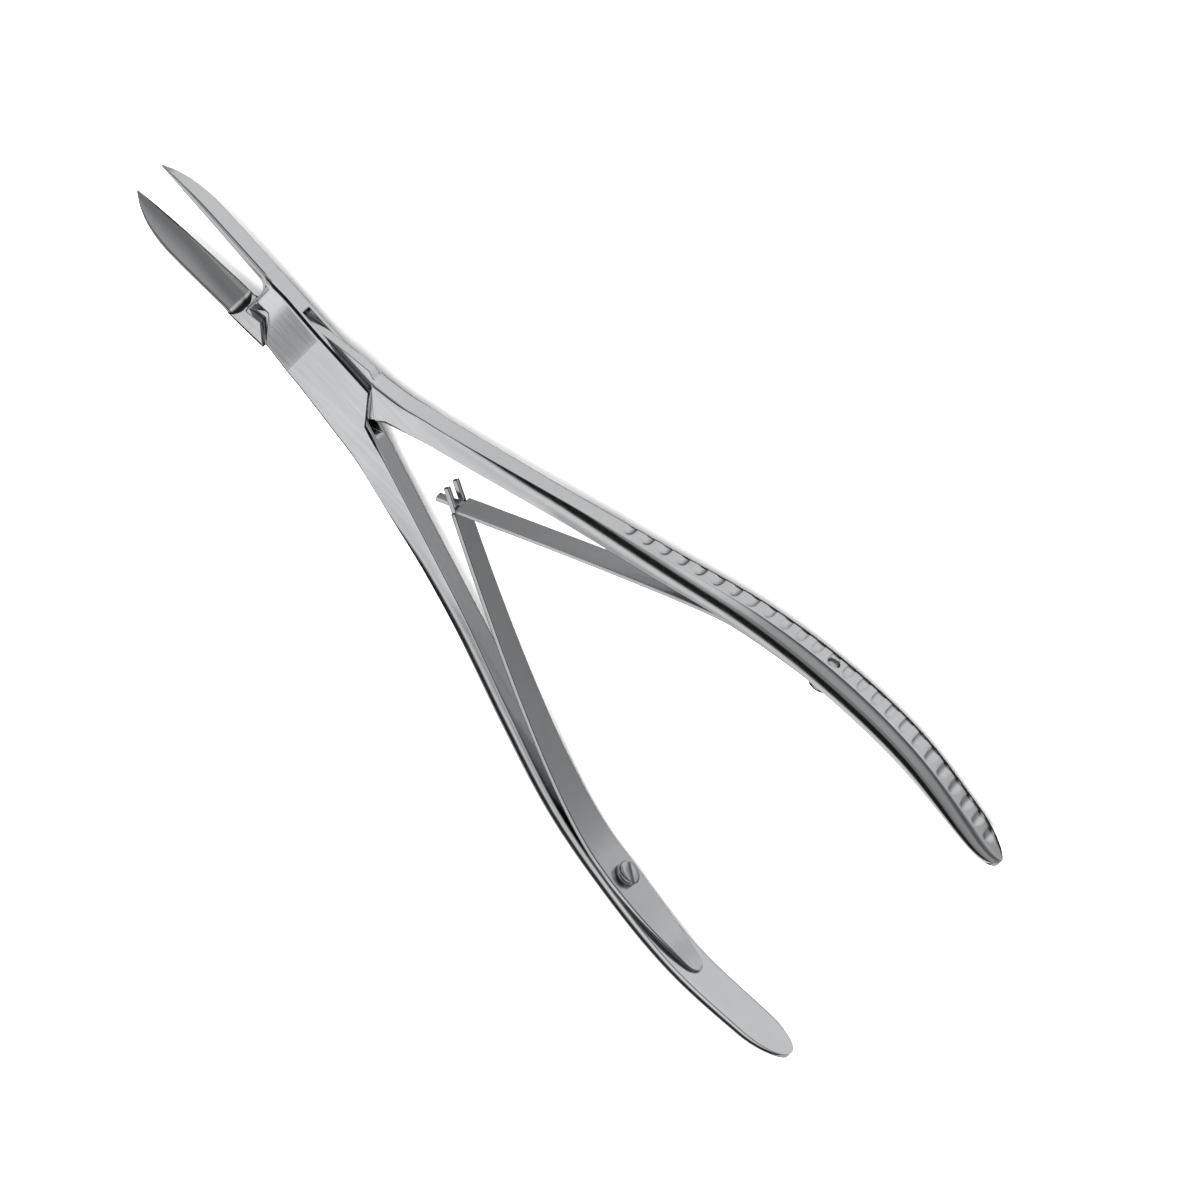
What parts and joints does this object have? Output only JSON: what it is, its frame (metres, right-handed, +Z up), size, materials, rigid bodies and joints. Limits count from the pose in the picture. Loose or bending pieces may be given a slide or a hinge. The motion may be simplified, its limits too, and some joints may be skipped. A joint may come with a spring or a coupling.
{
  "type": "bone cutting forceps",
  "caption": "Slim steel cutting forceps with straight hollow-ground blades, a pass-through box joint, notched handles and a double leaf spring.",
  "frame": {"origin": "middle of the length and of the spread of the open handles, on the plane of the handles' lower edges, so the forceps lies on its side on a table", "axes": "+X from the blade tips towards the handle ends, +Y towards the tenon arm's handle, +Z up along the pivot"},
  "size_m": [0.1702, 0.063, 0.009],
  "materials": {
    "forged_steel": "polished stainless steel with fine polishing lines",
    "spring_steel": "satin stainless spring steel",
    "screw_steel": "turned stainless steel"
  },
  "bodies": {
    "box_arm_body": {"box_arm": "forged_steel", "pivot_rivet": "forged_steel", "fork_spring_foot": "spring_steel", "fork_spring_screw": "screw_steel"},
    "tenon_arm_body": {"tenon_arm": "forged_steel", "tongue_spring_foot": "spring_steel", "tongue_spring_screw": "screw_steel"},
    "fork_leaf_body": {"fork_spring_leaf": "spring_steel"},
    "tongue_leaf_body": {"tongue_spring_leaf": "spring_steel"}
  },
  "joints": [
    {"name": "jaw_pivot", "type": "hinge", "parent": "box_arm_body", "child": "tenon_arm_body", "pos_m": [-0.04495, 0, 0.0045], "axis": [0, 0, 1], "range_deg": [-9.3, 0], "stiffness_Nm_per_rad": 1, "springref_deg": 2.86},
    {"name": "fork_leaf_flex", "type": "hinge", "parent": "box_arm_body", "child": "fork_leaf_body", "pos_m": [0.04205, -0.02595, 0.0045], "axis": [0, 0, 1], "range_deg": [0, 2.7]},
    {"name": "tongue_leaf_flex", "type": "hinge", "parent": "tenon_arm_body", "child": "tongue_leaf_body", "pos_m": [0.04205, 0.02595, 0.0045], "axis": [0, 0, 1], "range_deg": [-2.7, 0]}
  ],
  "couplings": [
    {"joint": "fork_leaf_flex", "follows": "jaw_pivot", "ratio": -0.27265},
    {"joint": "tongue_leaf_flex", "follows": "jaw_pivot", "ratio": 0.27265}
  ]
}
